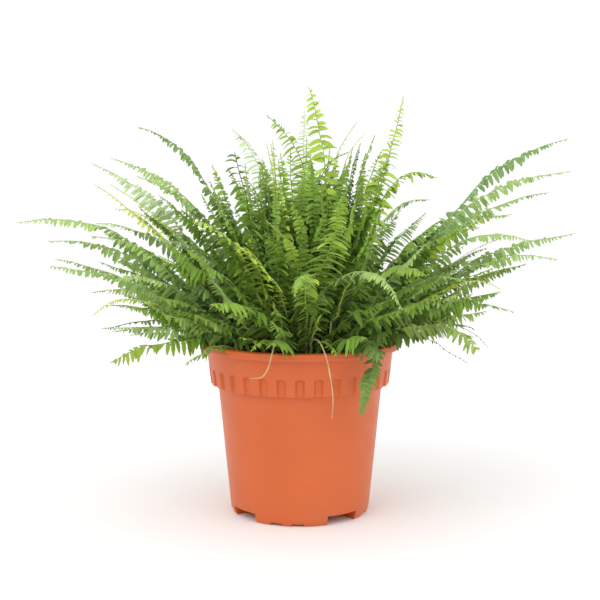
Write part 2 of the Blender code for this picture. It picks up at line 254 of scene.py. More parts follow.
def leaf_finish(name, mature, tip, under, rib):
    """Leaf green that differs from leaflet to leaflet, with a rib and veins.

    It is deep near the seat, partly the darker green of older leaflets and partly painted shade deep in
    the plant, and light at the frond's tip. The underside is the half of each leaflet's map past 0.5;
    its paler colour is partly the real paler underside and partly painted light shining through.
    """
    finish = Finish(name)
    along, tint, stem = finish.mark("along"), finish.mark("tint"), finish.mark("stem")
    out, across = finish.surface()
    tipward = finish.spread(along, 0.45, 1.0)
    green = finish.mix(tipward, mature, tip)
    blotch = finish.spread(finish.noise(85.0, 3.0), 0.3, 0.7)
    green = finish.mix(finish.math("MULTIPLY", blotch, 0.35), green, scaled(mature, 0.62))
    green = finish.mix(finish.spread(tint, 0.0, 1.0, 0.0, 0.6), green, scaled(tip, 1.4))
    # painted shade: leaflets near the seat are darkened for the shaded heart of the plant, partly also the
    # darker green of older leaflets
    green = finish.mix(finish.spread(along, 0.45, 0.08, 0.0, 0.9), green, scaled(mature, 0.28))
    # the underside colour is partly the real paler underside and partly painted light shining through the
    # leaf
    below = finish.math("GREATER_THAN", across, 0.5)
    green = finish.mix(finish.math("MULTIPLY", below, 0.75), green, under)
    half = finish.math("PINGPONG", across, 0.25)
    middle = finish.spread(half, 0.21, 0.25)
    middle = finish.math("MULTIPLY", middle, finish.spread(out, 0.95, 0.6, 0.0, 0.7))
    green = finish.mix(finish.math("MAXIMUM", middle, stem), green, rib)
    finish.set(Base_Color=green)
    finish.set(Roughness=finish.spread(finish.noise(240.0, 2.0), 0.3, 0.7, 0.42, 0.62))
    finish.set(Specular_IOR_Level=0.30, Sheen_Weight=0.06, Sheen_Roughness=0.5)
    veins = finish.math("SINE", finish.math("MULTIPLY", finish.math("ADD", out, half), 70.0))
    height = finish.math("ADD", finish.math("MULTIPLY", veins, 0.3), finish.noise(700.0, 2.0))
    finish.bump(height, 0.35, 0.0003)
    return finish.material


def pot_finish():
    """Satin moulded plastic: faint clouding, a fine grain and a few rubbed, dusty patches near the foot."""
    finish = Finish("terracotta_plastic")
    cloud = finish.spread(finish.noise(9.0, 4.0), 0.3, 0.7)
    colour = finish.mix(cloud, rgb(0.57, 0.105, 0.020), rgb(0.64, 0.130, 0.029))
    flow = finish.noise(14.0, 3.0, stretch=(1.0, 1.0, 0.08))
    colour = finish.mix(finish.spread(flow, 0.35, 0.75, 0.0, 0.22), colour, rgb(0.66, 0.15, 0.045))
    height = finish.node("ShaderNodeSeparateXYZ", Vector=finish.place()).outputs["Z"]
    low_down = finish.spread(height, 0.03, 0.0, 0.0, 0.5)
    dust = finish.math("MULTIPLY", low_down, finish.spread(finish.noise(45.0, 5.0), 0.45, 0.75))
    colour = finish.mix(dust, colour, rgb(0.50, 0.16, 0.07))
    finish.set(Base_Color=colour)
    finish.set(Roughness=finish.spread(finish.noise(60.0, 3.0), 0.3, 0.7, 0.38, 0.5))
    finish.set(Specular_IOR_Level=0.40, Coat_Weight=0.06, Coat_Roughness=0.35)
    finish.bump(finish.noise(1500.0, 2.0), 0.08, 0.0003)
    return finish.material


def soil_finish():
    """Dark peat with paler crumbs and fibres."""
    finish = Finish("peat")
    crumbs = finish.noise(320.0, 6.0, 0.7)
    lit = finish.spread(crumbs, 0.35, 0.7)
    colour = finish.mix(lit, rgb(0.010, 0.007, 0.005), rgb(0.075, 0.047, 0.028))
    flecks = finish.spread(finish.noise(900.0, 2.0), 0.64, 0.70, 0.0, 0.7)
    colour = finish.mix(flecks, colour, rgb(0.26, 0.20, 0.13))
    finish.set(Base_Color=colour, Roughness=0.95, Specular_IOR_Level=0.15)
    finish.bump(crumbs, 0.9, 0.002)
    return finish.material


def crown_finish():
    """Brown scales and fibres over the rootstock."""
    finish = Finish("crown_scales")
    fibre = finish.noise(420.0, 5.0, 0.65, stretch=(1.0, 1.0, 0.35))
    lit = finish.spread(fibre, 0.3, 0.7)
    colour = finish.mix(lit, rgb(0.018, 0.014, 0.006), rgb(0.12, 0.085, 0.035))
    moss = finish.spread(finish.noise(70.0, 3.0), 0.5, 0.7, 0.0, 0.6)
    colour = finish.mix(moss, colour, rgb(0.035, 0.06, 0.014))
    finish.set(Base_Color=colour, Roughness=0.9, Specular_IOR_Level=0.2)
    finish.bump(fibre, 0.9, 0.0015)
    return finish.material


def runner_finish():
    """Straw-coloured stolon under fine down, browner in patches, and darkened with painted shade where it
    leaves the crown under the fronds.
    """
    finish = Finish("runner_skin")
    patch = finish.spread(finish.noise(120.0, 4.0), 0.35, 0.7)
    colour = finish.mix(patch, rgb(0.62, 0.50, 0.20), rgb(0.42, 0.26, 0.09))
    out, _ = finish.surface()
    # painted shade: the stretch nearest the crown, under the fronds, is darkened to near black
    colour = finish.mix(finish.spread(out, 0.42, 0.20), colour, rgb(0.05, 0.06, 0.015))
    finish.set(Base_Color=colour, Roughness=0.6, Sheen_Weight=0.3)
    finish.bump(finish.noise(900.0, 3.0), 0.4, 0.0004)
    return finish.material


def floor_finish():
    """Matt paper white with a trace of cloud."""
    finish = Finish("studio_floor")
    colour = finish.mix(finish.noise(2.0, 2.0), rgb(0.96, 0.96, 0.96), rgb(0.98, 0.98, 0.98))
    finish.set(Base_Color=colour, Roughness=0.9, Specular_IOR_Level=0.1)
    return finish.material


# ---------------------------------------------------------------- pot

LIP_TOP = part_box("pot")[1].z
LIP_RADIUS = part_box("pot")[1].x
SOIL_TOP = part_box("potting_soil")[1].z
CROWN_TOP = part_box("crown")[1].z
CROWN_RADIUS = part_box("crown")[1].x
FOOT_RADIUS = 58 * MM
BODY_LOW = (59.8 * MM, 4.5 * MM)
BODY_TOP = (70.2 * MM, 111.6 * MM)
COLLAR_LOW = (76.3 * MM, 111.6 * MM)
COLLAR_TOP = (79.8 * MM, 142 * MM)
POT_WALL = 1.3 * MM

# Flutes: degrees from one to the next, and where a slot's side starts and where it has its full depth,
# as shares of that. What lies inside SHELF_RADIUS isn't pressed in.
FLUTE_PERIOD = 360 / 32
FLUTE_SIDE = (0.25, 0.21)
FLUTE_TOP = 126 * MM
FLUTE_ARCH = 1.8 * MM
FLUTE_SOFT = 0.3 * MM
FLUTE_DEPTH = 2.0 * MM
SHELF_RADIUS = 73.5 * MM

# Channels under the pot and nicks in the feet between them. Headings and widths of nicks are in degrees.
CHANNEL_HALF = 14.5 * MM
CHANNEL_TOP = 8 * MM
CHANNEL_HEADING = 37
MEETING_RADIUS = 20.6 * MM
RAISED_EDGE = (57.4 * MM, 60.1 * MM)
FOOT_NICKS = (-12, 6)
NICK_SIDE = (5.9, 4.5)
NICK_RISE = 1.6 * MM
NICK_START = (48 * MM, 49 * MM)
NICK_HEIGHT = (3 * MM, 0.8 * MM)

FOOT_COLUMNS = 66
CHANNEL_COLUMNS = 32
BODY_STEP = (60.15 * MM, CHANNEL_TOP)
UNDERSIDE_ROWS = 16
INSIDE_ROWS = 25


def pot_columns(radius):
    """Heading of every column at each radius, and whether it runs over a foot.

    A channel of constant width is asin(half width / radius) to each side of its own heading, so the
    columns of a foot close up towards the axis until two channels meet.
    """
    half = np.degrees(np.arcsin(np.minimum(CHANNEL_HALF / radius, math.sin(math.pi / 4))))[:, None]
    columns, on_foot = [], []
    for quarter in range(4):
        channel = CHANNEL_HEADING + 90 * quarter
        columns.append(channel + half * np.linspace(-1, 1, CHANNEL_COLUMNS))
        columns.append(channel + 45 + (45 - half) * np.linspace(-1, 1, FOOT_COLUMNS))
        on_foot += [False] * CHANNEL_COLUMNS + [True] * FOOT_COLUMNS
    return np.concatenate(columns, axis=1), np.array(on_foot)


def mm(*points):
    """Points given in millimetres."""
    return np.array(points) * MM


def line(start, end, count):
    """Points evenly along a straight stretch of the profile, without its end."""
    share = np.arange(count)[:, None] / count
    return np.array(start) * (1 - share) + np.array(end) * share


def pot_profile():
    """(radius, height) rows from under the middle, out and up the wall, over the lip and down inside.

    The first UNDERSIDE_ROWS rows are the flat underside. The last INSIDE_ROWS rows are the inner wall
    and the floor inside.
    """
    thick = np.array([POT_WALL + FLUTE_DEPTH, 0])
    inner_top = np.array(COLLAR_TOP) - thick
    inner_low = np.array(COLLAR_LOW) - thick + (0, POT_WALL)
    return np.concatenate([
        mm((2, 0), (9, 0), (16, 0), (20.6, 0)),
        line((20.8 * MM, 0), (57.2 * MM, 0), 12),
        mm((57.2, 0), (57.8, 0.15), (58.1, 0.5)),
        line((58.3 * MM, 0.9 * MM), BODY_LOW, 3),
        line(BODY_LOW, BODY_STEP, 2),
        line(BODY_STEP, BODY_TOP, 26),
        mm((70.3, 111.3), (70.7, 111.6), (73, 111.6), (75.6, 111.6), (76.1, 111.75), (76.35, 112.2)),
        line((76.45 * MM, 113 * MM), (77.7 * MM, 123.4 * MM), 7),
        line((77.7 * MM, 123.4 * MM), (78.1 * MM, 127.2 * MM), 14),
        line((78.1 * MM, 127.2 * MM), (79.7 * MM, 141.4 * MM), 6),
        mm((79.75, 141.7), (80.1, 141.95), (81, 142), (83.9, 142), (84.6, 142.15), (84.95, 142.6)),
        mm((85, 143.2), (85, 144.5), (84.75, 144.8), (84.7, 145.2), (84.8, 146.6), (84.5, 147.4)),
        mm((83.9, 147.85), (83.2, 148), (80.6, 148), (78.4, 148), (77.8, 147.8), (77.45, 147.3)),
        line((77.4 * MM, 146 * MM), inner_top, 3),
        line(inner_top, inner_low, 8),
        line((68.9 * MM, 112.9 * MM), (59.2 * MM, 10.5 * MM), 10),
        mm((58.2, 9.4), (40, 9.3), (20, 9.3), (2, 9.3)),
    ])


def apart_from(heading, period):
    """Degrees from the nearest whole number of periods, from minus half a period to plus half."""
    return (heading + period / 2) % period - period / 2


def pot_points():
    """The wall's point for each profile row and column, pressed in by the flutes and raised in the channels.

    A flute is a flat-bottomed slot with soft sides and a round top: depth times a step of the distance
    from its own heading, times a step of the height under an arch. In the channels the underside is
    level with their top, and its rim is drawn out to where the wall meets that height.
    """
    profile = pot_profile()
    heading, on_foot = pot_columns(np.clip(profile[:, 0], MEETING_RADIUS, FOOT_RADIUS))
    radius = np.repeat(profile[:, :1], len(on_foot), axis=1)
    height = np.repeat(profile[:, 1:], len(on_foot), axis=1)
    rows = np.arange(len(profile))[:, None]
    wall_start = int(np.argmax(profile[:, 1] >= CHANNEL_TOP))
    under = rows < wall_start
    raised = under & (~on_foot | (profile[:, :1] <= MEETING_RADIUS))
    drawn_out = profile[:, :1].copy()
    drawn_out[UNDERSIDE_ROWS:wall_start, 0] = np.linspace(*RAISED_EDGE, wall_start - UNDERSIDE_ROWS)
    radius = np.where(raised, drawn_out, radius)
    height = np.where(raised, CHANNEL_TOP, height)
    for nick in FOOT_NICKS:
        apart = np.abs(apart_from(heading - (CHANNEL_HEADING + 45 + nick), 90))
        edge = smooth_step(*NICK_START, radius) * smooth_step(*NICK_HEIGHT, height)
        height = height + np.where(under & ~raised, NICK_RISE * smooth_step(*NICK_SIDE, apart) * edge, 0)
    sideways = np.abs(apart_from(heading, FLUTE_PERIOD)) / FLUTE_PERIOD
    arch = FLUTE_TOP - FLUTE_ARCH * (sideways / np.mean(FLUTE_SIDE)) ** 2
    slot = smooth_step(*FLUTE_SIDE, sideways) * smooth_step(arch + FLUTE_SOFT, arch - FLUTE_SOFT, height)
    on_collar = (radius > SHELF_RADIUS) & (rows < len(profile) - INSIDE_ROWS)
    radius = radius - np.where(on_collar, FLUTE_DEPTH * slot, 0)
    return facing(heading) * radius[..., None] + UP * height[..., None]


def make_pot():
    mesh = tube_mesh("moulded_pot", pot_points(), sharp_angle=38)
    add_piece("moulded_pot", mesh, pot_finish(), "pot_plastic", "pot")


# ---------------------------------------------------------------- soil, crown and runners

SOIL_RADIUS = 75 * MM
SOIL_DEPTH = 20 * MM
SOIL_GRAIN = 1.0 * MM
SOIL_UNDER_SHARE = 0.965
CROWN_EDGE = 1.5 * MM
CROWN_GRAIN = 1.6 * MM
MOUND_RINGS = 60


def mound_points(radius, low, edge, dome, grain, columns, seed):
    """Closed heap: a flat underside at a low height, a side, and a top roughened by a ripple.

    The top's height is edge + dome * (1 - out^2), with out running from 1 at the rim to the middle.
    """
    rng = np.random.default_rng(seed)
    heading = np.radians(np.linspace(0, 360, columns, endpoint=False))
    out = np.linspace(1.0, 0.015, MOUND_RINGS)[:, None]
    x = radius * out * np.sin(heading)
    y = -radius * out * np.cos(heading)
    rough = grain * ripple(x, y, rng, 60, 0.03, 0.0025)
    rough[0] = 0
    top = np.stack([x, y, edge + dome * (1 - out**2) + rough], axis=-1)
    under = top[[-1, 0]].copy()
    under[..., 2] = low
    return np.concatenate([under, top])


def make_soil():
    """Level peat that narrows a little to its underside."""
    edge = SOIL_TOP - 0.6 * MM
    points = mound_points(SOIL_RADIUS, SOIL_TOP - SOIL_DEPTH, edge, 0, SOIL_GRAIN, 180, 3)
    points[:2, :, :2] *= SOIL_UNDER_SHARE
    mesh = tube_mesh("peat_top", points, sharp_angle=60)
    add_piece("peat_top", mesh, soil_finish(), "potting_soil", "potting_soil")


def make_crown():
    """Low rough dome of old leaf bases on the soil."""
    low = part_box("crown")[0].z
    edge = low + CROWN_EDGE
    dome = 0.95 * (CROWN_TOP - edge)
    points = mound_points(CROWN_RADIUS - 1 * MM, low, edge, dome, CROWN_GRAIN, 160, 8)
    mesh = tube_mesh("scaly_crown", points, sharp_angle=60)
    add_piece("scaly_crown", mesh, crown_finish(), "crown_fibre", "crown")


# Routes of the two runners in millimetres, from the crown over the lip to the free end.
RUNNERS = {
    "runner_left": [(-12, -48, 140.6), (-14, -60, 155), (-18, -77, 161), (-22, -92, 150),
                    (-25, -94, 139), (-30, -94, 132), (-40, -91, 130)],
    "runner_right": [(3, -50, 140.4), (7, -62, 154), (14, -80, 159), (20, -92, 149),
                     (24, -94, 131), (26, -93, 114), (25, -92, 98)],
}
RUNNER_RADIUS = 0.6 * MM
RUNNER_RINGS = 90
RUNNER_SIDES = 8
RUNNER_JOINTS = 7


def curve_through(route, count):
    """A smooth curve through the route: between two knots, a cubic that leans on the knots beside them."""
    knots = np.array([route[0], *route, route[-1]], float) * MM
    place = np.linspace(0, len(route) - 1 - 1e-9, count)
    first = place.astype(int)
    t = (place - first)[:, None]
    a, b, c, d = (knots[first + step] for step in range(4))
    bend, twist = 2 * a - 5 * b + 4 * c - d, 3 * b - a - 3 * c + d
    return 0.5 * (2 * b + (c - a) * t + bend * t**2 + twist * t**3)


def tube_points(centre, side, radius, sides):
    """Rings of a tube round a path: centre + radius * (cos * across + sin * over)."""
    tangent = unit(np.gradient(centre, axis=0))
    across = unit(square_to(side, tangent))
    over = np.cross(tangent, across)
    angle = np.arange(sides) * TURN / sides
    ring = np.cos(angle)[:, None] * across[:, None] + np.sin(angle)[:, None] * over[:, None]
    return centre[:, None] + ring * radius[:, None, None]


def make_runners():
    """Each runner is a thin tube that swells a little at its joints and thins to its end."""
    material = runner_finish()
    for name, route in RUNNERS.items():
        centre = curve_through(route, RUNNER_RINGS)
        share = np.linspace(0, 1, RUNNER_RINGS)
        joints = 1 + 0.25 * np.exp(-(((share * RUNNER_JOINTS) % 1 - 0.5) / 0.07) ** 2)
        radius = RUNNER_RADIUS * (1.0 - 0.55 * share**2) * joints
        side = facing(np.full(RUNNER_RINGS, 90.0)) + 0.01 * UP
        mesh = tube_mesh(name, tube_points(centre, side, radius, RUNNER_SIDES), sharp_angle=60)
        add_piece(f"{name}_stolon", mesh, material, "runner", name)


# ---------------------------------------------------------------- fronds

# half: longest leaflet in mm; spacing: between pairs in mm; fill: a leaflet's half-width as a share of
# the gap; bare: share of the frond that is bare stalk; full: share where the taper starts; taper: its
# power; dot: shortest leaflet in mm; sweep: lean to the tip in degrees; hang: first droop; sag: curve
# of the droop; level: how far the leaflets turn their faces up; twist: roll of the frond in radians;
# stem: the stalk's thickness in mm, as a radius at the seat; finish: which leaf finish.
Look = namedtuple("Look", "half spacing fill bare full taper dot sweep hang sag level twist stem finish")

LOOKS = {
    "tall": Look(13.0, 5.0, 0.40, 0.12, 0.68, 0.60, 1.6, 18, 0.05, 0.55, 0.60, 0.15, 1.0, "upright_leaf"),
    "arching": Look(11.0, 4.3, 0.48, 0.12, 0.58, 0.8, 2.0, 12, 0.22, 0.32, 0.34, 0.85, 0.95, "arching_leaf"),
    "low": Look(9.5, 4.1, 0.46, 0.12, 0.60, 0.80, 1.9, 12, 0.22, 0.30, 0.40, 0.80, 0.85, "low_leaf"),
    "facing": Look(13.0, 4.7, 0.42, 0.08, 0.66, 0.65, 1.6, 14, 0.25, 0.45, 0.55, 0.25, 0.95, "front_leaf"),
    "hanging": Look(8.0, 3.5, 0.60, 0.16, 0.70, 0.50, 2.6, 26, 0.10, 0.12, 0.30, 0.40, 0.8, "shade_leaf"),
    "young": Look(5.6, 4.8, 0.36, 0.20, 0.60, 0.70, 1.8, 20, 0.35, 0.28, 0.55, 0.50, 0.75, "young_leaf"),
    "dry": Look(2.4, 7.0, 0.30, 0.35, 0.60, 0.80, 1.2, 20, 0.60, 0.30, 0.50, 0.50, 0.5, "dry_leaf"),
    "inner": Look(11.5, 4.2, 0.44, 0.08, 0.66, 0.70, 1.7, 14, 0.30, 0.42, 0.45, 0.60, 0.9, "painted_shade_heart_green"),
}

SLOTS = {
    "tall": "tall_frond",
    "arching": "arching_frond",
    "low": "low_frond",
    "facing": "front_frond",
    "hanging": "hanging_frond",
    "young": "young_frond",
    "dry": "dry_frond",
    "inner": "low_frond",
}

# What sets single fronds apart from the rest of their kind.
OWN_LOOKS = {
    "tall_frond_front_1": {"half": 12.5, "spacing": 6.6, "fill": 0.36, "level": 0.52, "full": 0.74,
                           "taper": 0.5, "finish": "painted_lit_green"},
    "tall_frond_front_2": {"half": 13.0, "spacing": 6.2, "fill": 0.32, "sag": 0.7, "level": 0.68,
                           "full": 0.88, "taper": 0.4, "finish": "painted_shade_green"},
    "tall_frond_right_1": {"half": 16.0, "spacing": 5.0, "fill": 0.36, "level": 0.55, "full": 0.58,
                           "taper": 0.72, "finish": "painted_lit_green"},
    "tall_frond_left_1": {"finish": "painted_lit_green"},
    "tall_frond_back_2": {"half": 11.5, "finish": "painted_glare_green"},
    "tall_frond_back_3": {"half": 11.5, "finish": "painted_glare_green"},
    "tall_frond_back_4": {"half": 4.0, "spacing": 8.0, "finish": "young_leaf"},
    "arching_frond_left_3": {"half": 14.0, "finish": "painted_glare_green"},
    "arching_frond_left_4": {"half": 6.5, "spacing": 6.5, "dot": 2.4, "finish": "young_leaf"},
    "arching_frond_right_1": {"half": 14.0, "spacing": 4.8, "finish": "blue_green_leaf"},
    "arching_frond_right_7": {"finish": "painted_shade_green"},
    "low_frond_left_2": {"half": 5.0, "finish": "painted_shade_green"},
    "low_frond_left_4": {"half": 11.0, "full": 0.75, "taper": 0.5, "finish": "painted_lit_green"},
    "low_frond_right_2": {"half": 12.0, "full": 0.75, "taper": 0.5},
    "facing_frond_1": {"half": 18.0, "spacing": 4.7, "hang": 0.05, "sag": 0.5, "level": 0.72,
                       "full": 0.6, "finish": "painted_lit_green"},
    "facing_frond_2": {"half": 6.5, "spacing": 4.0, "finish": "arching_leaf"},
    "facing_frond_3": {"half": 10.0, "spacing": 4.0, "fill": 0.34, "level": 0.8, "full": 0.6, "taper": 0.9},
    "facing_frond_6": {"half": 12.5, "spacing": 3.6, "fill": 0.6, "full": 0.75, "taper": 0.5,
                       "finish": "shade_leaf"},
}

# A leaflet is cut across at these shares of its length.
STATIONS = np.array([0.0, 0.07, 0.18, 0.36, 0.56, 0.76, 0.92, 1.0])
LEAF_THICKNESS = 0.16 * MM
STALK_SIDES = 6
WAVER = 1.1 * MM
STEP = 4 * MM
PATH_SOFTENING = 14
SIDE_SOFTENING = 10
BROAD_ENOUGH = 3.4 * MM
LEAF_SHARP = 50


def steps_from(start, edges, count):
    """How many edges each vertex is from the start, found one ring of vertices at a time."""
    level = np.full(count, -1)
    level[start] = 0
    step = 0
    while (level == step).any():
        far = edges[level[edges[:, 0]] == step, 1]
        level[far[level[far] < 0]] = step + 1
        step += 1
    return level


def spine_of(node):
    """Middle line and side direction of a frond's solid, from its seat to its tip.

    The solid is a row of four-cornered rings that ends in a point. The number of edges from the point
    tells the rings apart: a ring's mean lies on the middle line, and its longest diagonal, where the
    blade is broad, runs from side to side.
    """
    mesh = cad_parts[node].data
    corners = np.empty(3 * len(mesh.vertices), np.float32)
    mesh.vertices.foreach_get("co", corners)
    mesh.calc_loop_triangles()
    triangles = np.empty(3 * len(mesh.loop_triangles), np.int32)
    mesh.loop_triangles.foreach_get("vertices", triangles)
    points, same = np.unique(np.round(corners.reshape(-1, 3), 6), axis=0, return_inverse=True)
    triangles = same.reshape(-1)[triangles].reshape(-1, 3)
    both_ways = ([0, 1], [1, 2], [2, 0], [1, 0], [2, 1], [0, 2])
    edges = np.concatenate([triangles[:, pair] for pair in both_ways])
    seat = np.linalg.norm(points - (0, 0, CROWN_TOP), axis=1).argmin()
    tip = steps_from(seat, edges, len(points)).argmax()
    level = steps_from(tip, edges, len(points))
    members = np.bincount(level)
    sums = np.stack([np.bincount(level, points[:, axis]) for axis in range(3)], axis=1)
    centre = (sums / members[:, None])[::-1]
    order = np.argsort(-level, kind="stable")
    order = order[members[level[order]] == 4]
    rings = points[order].reshape(-1, 4, 3)
    first, second = np.triu_indices(4, 1)
    across = rings[:, first] - rings[:, second]
    width = np.linalg.norm(across, axis=2)
    widest = width.argmax(axis=1)
    broad = np.flatnonzero(width.max(axis=1) > BROAD_ENOUGH)
    side = unit(across[broad, widest[broad]])
    side[1:] *= np.cumprod(np.sign((side[1:] * side[:-1]).sum(axis=1)))[:, None]
    place = 1 - level[order[::4]] / level.max()
    return centre, place[broad], side


def even_path(centre):
    """The path walked at even steps and softened where its straight stretches met."""
    walked = np.concatenate([[0], np.cumsum(np.linalg.norm(np.diff(centre, axis=0), axis=1))])
    length = walked[-1]
    steps = np.linspace(0, length, max(12, round(length / STEP)))
    path = read_at(steps, walked, centre)
    return softened(path, PATH_SOFTENING), steps / length, length


def wavered(path, share, rng):
    """The path with two slow waves that are nil at the seat and largest half-way: 2.2 and 4.5 turns long."""
    phase = rng.uniform(0, TURN, (2, 3))
    turns = TURN * share[:, None]
    waves = np.sin(2.2 * turns + phase[0]) + 0.6 * np.sin(4.5 * turns + phase[1])
    return path + WAVER * waves * np.sin(math.pi * np.minimum(share, 0.85)[:, None])


def outline(out):
    """Half-width of a leaflet along its length: a narrow foot, quickly full, then round to a blunt tip."""
    foot = 0.45 + 0.55 * np.clip(out / 0.12, 0, 1)
    end = (1 - np.clip((out - 0.1) / 0.9, 0, 1) ** 3.2) ** 0.62
    return foot * np.maximum(end, 0.08)


def rolled(path, share, side, normal, twist, rng):
    """Side and face of a frond turned about its line by twist * sin(1.2 turns * share + phase)."""
    tangent = unit(np.gradient(path, axis=0))
    across, face = unit(square_to(side, tangent)), unit(square_to(normal, tangent))
    roll = (twist * np.sin(1.2 * TURN * share + rng.uniform(0, TURN)))[:, None]
    return across * np.cos(roll) + face * np.sin(roll), face * np.cos(roll) - across * np.sin(roll)


def tapering(share, look):
    """1 up to where the taper starts, then straight down to 0 at the tip."""
    return np.clip((1 - share) / (1 - look.full), 0, 1)


def leaflet_gap(share, look):
    """From one leaflet to the next: the spacing, and down to 0.55 of it along the taper."""
    return look.spacing * MM * (0.55 + 0.45 * tapering(share, look))


def leaflet_starts(length, look, shift):
    """Places of one side's leaflets along the frond: even to start with, closer towards the tip."""
    share = np.linspace(look.bare, 0.995, 300)
    counted = np.cumsum(np.diff(share) * length / leaflet_gap(share, look)[:-1])
    counted = np.concatenate([[0], counted])
    return np.interp(np.arange(int(counted[-1])) + shift, counted, share)


def both_rows(length, look, rng):
    """Places of the leaflets of both sides, and 1 or -1 for the side that each is on."""
    first, second = (leaflet_starts(length, look, shift) for shift in (0.3, 0.8))
    hand = np.repeat([1.0, -1.0], [len(first), len(second)])
    jitter = rng.normal(0, 0.12, len(hand)) * look.spacing * MM / length
    return np.clip(np.concatenate([first, second]) + jitter, look.bare, 0.995), hand


def leaflet_sizes(starts, look, rng):
    """Length of each leaflet: it swells from the bare stalk and falls with a power of the taper."""
    blade = (starts - look.bare) / (1 - look.bare)
    swell = np.clip((blade + 0.06) / 0.26, 0, 1) ** 0.7
    size = look.half * swell * tapering(starts, look) ** look.taper
    return np.maximum(size, look.dot) * MM * rng.normal(1, 0.10, len(starts))


def leaflet_lines(root, tangent, across, starts, size, look, rng):
    """Middle line of each leaflet and its direction at every station.

    The line is root + size * (out * direction + sag * out^2 * down). The direction leans from straight
    across to the frond's tip by the sweep, and then down by the hang.
    """
    count = len(starts)
    taper = tapering(starts, look) ** look.taper
    sweep = np.radians(look.sweep + 24 * (1 - taper) + rng.normal(0, 10, count))[:, None]
    hang = (look.hang + rng.normal(0, 0.22, count))[:, None]
    direction = across * np.cos(sweep) + tangent * np.sin(sweep)
    direction = unit(direction + hang * square_to(-UP, tangent))[:, None]
    sag = (look.sag * rng.normal(1, 0.2, count))[:, None, None]
    out = STATIONS[:, None]
    middle = root[:, None] + size[:, None, None] * (out * direction - sag * out**2 * UP)
    return middle, unit(direction - 2 * sag * out * UP)


def leaflet_points(middle, along, face, tangent, broad, look, rng):
    """Ring of four points at each station: one edge, the rib on top, the other edge and the rib below.

    A leaflet's face leans between the frond's own face and straight up. Its edges fold down a little
    from the rib, and the edge towards the frond's tip has an ear at its foot.
    """
    count = len(middle)
    lean = unit((1 - look.level) * face + look.level * UP + rng.normal(0, 0.20, (count, 3)))
    over = unit(square_to(lean[:, None], along))
    width_way = np.cross(over, along)
    ear = 0.30 * np.exp(-(((STATIONS - 0.12) / 0.09) ** 2))
    distal = ((width_way[:, 0] * tangent).sum(axis=1) > 0)[:, None]
    scallop = 1 + 0.07 * np.cos(np.pi * np.arange(len(STATIONS)))
    edge_one = (broad * scallop * (1 + np.where(distal, ear, 0)))[..., None]
    edge_two = (broad * scallop * (1 + np.where(distal, 0, ear)))[..., None]
    fold = over * rng.normal(-0.12, 0.10, count)[:, None, None]
    thick = over * LEAF_THICKNESS * np.interp(STATIONS, [0, 0.5, 1], [1.6, 1.0, 0.5])[:, None]
    return np.stack([
        middle + (width_way + fold) * edge_one,
        middle + thick,
        middle - (width_way - fold) * edge_two,
        middle - thick,
    ], axis=2)


def leaflets(path, share, length, side, normal, look, rng):
    """Points of every leaflet of a frond, as (leaflets, stations, 4, 3), with their starts and tints.

    One leaflet in fifty is missing.
    """
    starts, hand = both_rows(length, look, rng)
    root = read_at(starts, share, path)
    tangent = unit(read_at(starts, share, np.gradient(path, axis=0)))
    across = unit(square_to(read_at(starts, share, side), tangent)) * hand[:, None]
    face = unit(square_to(read_at(starts, share, normal), tangent))
    size = leaflet_sizes(starts, look, rng)
    middle, along = leaflet_lines(root, tangent, across, starts, size, look, rng)
    broad = np.clip(look.fill * leaflet_gap(starts, look), 0.15 * size, 0.30 * size)[:, None]
    points = leaflet_points(middle, along, face, tangent, broad * outline(STATIONS), look, rng)
    kept = rng.random(len(starts)) > 0.02
    tint = np.clip(rng.normal(rng.uniform(0.15, 0.65), 0.20, len(starts)), 0, 1)
    return points[kept], starts[kept], tint[kept]


def frond_parts(path, share, length, side, look, rng):
    """One frond as points, quads, map and marks: its leaflets and the stalk that carries them."""
    side, normal = rolled(path, share, side, upper_side(path, side), look.twist, rng)
    leaves, starts, tint = leaflets(path, share, length, side, normal, look, rng)
    stations = len(STATIONS)
    per_leaf = 4 * stations
    quads = tube_faces(stations, 4) + per_leaf * np.arange(len(leaves))[:, None, None]
    uv = np.tile(tube_uv(stations, 4), (len(leaves), 1, 1))
    radius = look.stem * MM * (1.05 - 0.80 * share**0.8)
    stalk = tube_points(path, side, radius, STALK_SIDES).reshape(-1, 3)
    points = np.concatenate([leaves.reshape(-1, 3), stalk])
    leaf_points = len(leaves) * per_leaf
    quads = np.concatenate([quads.reshape(-1, 4), tube_faces(len(path), STALK_SIDES) + leaf_points])
    uv = np.concatenate([uv, tube_uv(len(path), STALK_SIDES)])
    marks = {
        "along": np.concatenate([np.repeat(starts, per_leaf), np.repeat(share, STALK_SIDES)]),
        "tint": np.concatenate([np.repeat(tint, per_leaf), np.full(len(stalk), 0.5)]),
        "stem": np.repeat([0.0, 1.0], [leaf_points, len(stalk)]),
    }
    return points, quads, uv, marks


def joined(parts):
    """Several fronds as one set of arrays."""
    before = np.cumsum([0] + [len(points) for points, _, _, _ in parts[:-1]])
    points = np.concatenate([part[0] for part in parts])
    quads = np.concatenate([part[1] + start for part, start in zip(parts, before)])
    uv = np.concatenate([part[2] for part in parts])
    marks = {key: np.concatenate([part[3][key] for part in parts]) for key in parts[0][3]}
    return points, quads, uv, marks


def upper_side(path, side):
    """The frond's face: square to its line and its side, and turned up, or to the front if upright."""
    tangent = unit(np.gradient(path, axis=0))
    normal = np.cross(tangent, unit(square_to(side, tangent)))
    up_or_front = normal @ np.array([0, -0.35, 1.0])
    return normal if up_or_front.sum() > 0 else -normal


